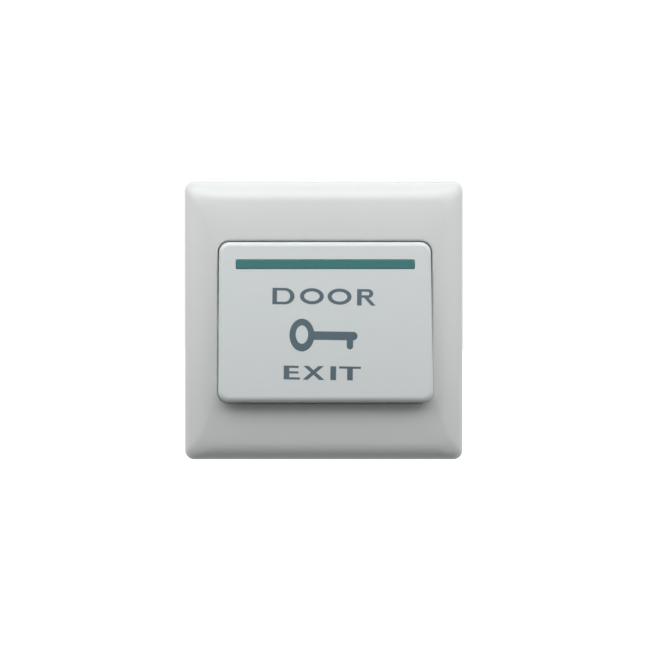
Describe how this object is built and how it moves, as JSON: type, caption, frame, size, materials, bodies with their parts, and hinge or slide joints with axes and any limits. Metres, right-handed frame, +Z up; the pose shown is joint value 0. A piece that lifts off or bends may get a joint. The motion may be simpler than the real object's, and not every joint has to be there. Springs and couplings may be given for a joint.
{
  "type": "door exit button",
  "caption": "Square wall plate with a large rocker push face, green strip and the spring-return contact block behind it.",
  "frame": {"origin": "centre of the square plate on the wall plane, which the mounting plate's rear face and the frame's rear edge lie in", "axes": "+X to the right and +Z up as seen from the room, +Y into the wall, so the face looks along -Y"},
  "size_m": [0.086, 0.0333, 0.086],
  "materials": {
    "frame_white": "white ABS, satin gloss",
    "paddle_white": "white ABS with a fine satin texture",
    "strip_green": "blue-green plastic, satin",
    "carrier_white": "natural acetal, satin",
    "plate_white": "white ABS, as moulded",
    "housing_black": "black nylon, as moulded",
    "brass": "stamped brass",
    "bronze": "phosphor bronze spring sheet",
    "contact_silver": "silver alloy, dull",
    "zinc_steel": "zinc plated steel"
  },
  "bodies": {
    "base": {"trim_frame": "frame_white", "mounting_plate": "plate_white", "switch_housing": "housing_black", "common_terminal": "brass", "open_terminal": "brass", "fixed_contact": "contact_silver", "leaf_rivet": "brass", "wire_clamp_common": "zinc_steel", "wire_clamp_open": "zinc_steel", "terminal_screw_common": "zinc_steel", "terminal_screw_open": "zinc_steel", "return_spring": "zinc_steel", "housing_screw_1": "zinc_steel", "housing_screw_2": "zinc_steel", "housing_screw_3": "zinc_steel", "housing_screw_4": "zinc_steel"},
    "rocker": {"paddle": "paddle_white", "indicator_strip": "strip_green", "rocker_carrier": "carrier_white"},
    "plunger": {"plunger": "carrier_white"},
    "leaf": {"contact_leaf": "bronze", "moving_contact": "contact_silver"}
  },
  "joints": [
    {"name": "paddle_rock", "type": "hinge", "parent": "base", "child": "rocker", "pos_m": [0, -0.0052, 0], "axis": [1, 0, 0], "range_deg": [0, 8.5], "stiffness_Nm_per_rad": 0.15, "springref_deg": -8.59},
    {"name": "plunger_slide", "type": "slide", "parent": "base", "child": "plunger", "axis": [0, 1, 0], "range_m": [0, 0.0015], "deforming": ["return_spring"]},
    {"name": "leaf_bend", "type": "hinge", "parent": "base", "child": "leaf", "pos_m": [-0.012, 0.0043, -0.01], "axis": [0, 0, 1], "range_deg": [0, 7.1]}
  ],
  "couplings": [
    {"joint": "plunger_slide", "follows": "paddle_rock", "m_per_rad": 0.01},
    {"joint": "leaf_bend", "follows": "paddle_rock", "ratio": 0.83333}
  ]
}
